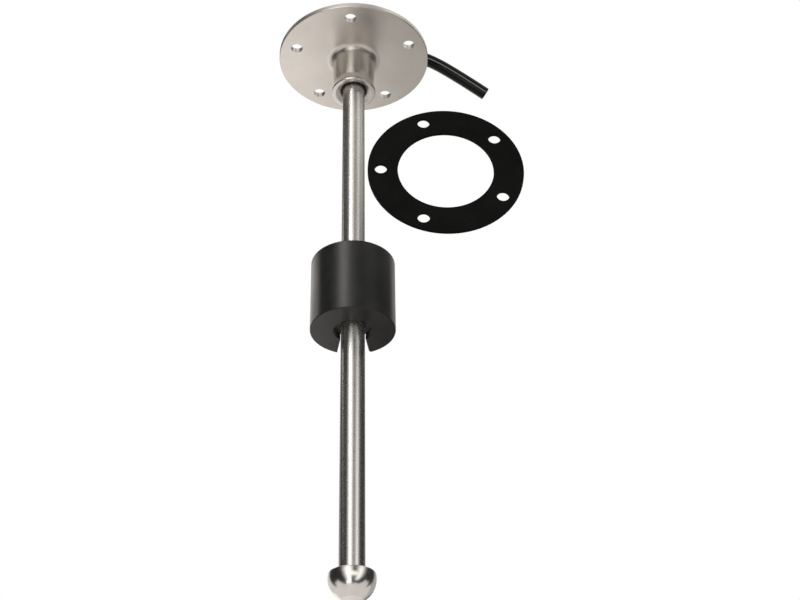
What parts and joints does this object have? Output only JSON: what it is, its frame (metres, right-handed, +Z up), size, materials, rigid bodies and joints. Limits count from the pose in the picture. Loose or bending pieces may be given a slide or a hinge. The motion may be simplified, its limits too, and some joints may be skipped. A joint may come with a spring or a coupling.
{
  "type": "tank level sender",
  "caption": "Flanged tank level sender: round flange with a short hub, long thin stem ending in a knob, slotted foam float sliding on the stem, cable head on top and a loose flat gasket.",
  "frame": {"origin": "centre of the flange's seat face, which lies on the tank, on the stem's axis", "axes": "+Z up out of the tank along the stem's axis, +X towards the cable and the wide space between the screw holes"},
  "size_m": [0.0999, 0.076, 0.2818],
  "materials": {
    "satin_steel": "satin",
    "polished_steel": "polished",
    "float_foam": "matte",
    "gasket_rubber": "satin",
    "bush_plastic": "satin",
    "magnet_ferrite": "matte",
    "board_insulation": "satin",
    "circuit_board": "satin",
    "reed_glass": "gloss",
    "chip_body": "matte",
    "red_core": "satin",
    "black_core": "satin",
    "solder": "satin",
    "potting_resin": "gloss",
    "cover_plastic": "satin",
    "cable_rubber": "satin",
    "ring_brass": "satin"
  },
  "bodies": {
    "sender": {"mounting_flange": "satin_steel", "stem_tube": "polished_steel", "end_knob": "polished_steel", "end_plug": "polished_steel", "board_foot": "board_insulation", "board_sleeve": "board_insulation", "reed_board": "circuit_board", "reed_switches": "reed_glass", "ladder_resistors": "chip_body", "signal_core": "red_core", "return_core": "black_core", "solder_joints": "solder", "potting_plug": "potting_resin", "cover_seal": "gasket_rubber", "head_cover": "cover_plastic", "cable_grommet": "cable_rubber", "cable_stop_ring": "ring_brass", "cable": "cable_rubber", "flange_gasket": "gasket_rubber"},
    "magnet_carrier": {"float_sleeve": "bush_plastic", "float_magnets": "magnet_ferrite", "magnet_retainer": "bush_plastic"},
    "float": {"float_body": "float_foam"}
  },
  "joints": [
    {"name": "float_slide", "type": "slide", "parent": "sender", "child": "magnet_carrier", "axis": [0, 0, 1], "range_m": [-0.1048, 0.0953]},
    {"name": "float_spin", "type": "hinge", "parent": "magnet_carrier", "child": "float", "pos_m": [0, 0, -0.1324], "axis": [0, 0, 1], "continuous": true}
  ]
}
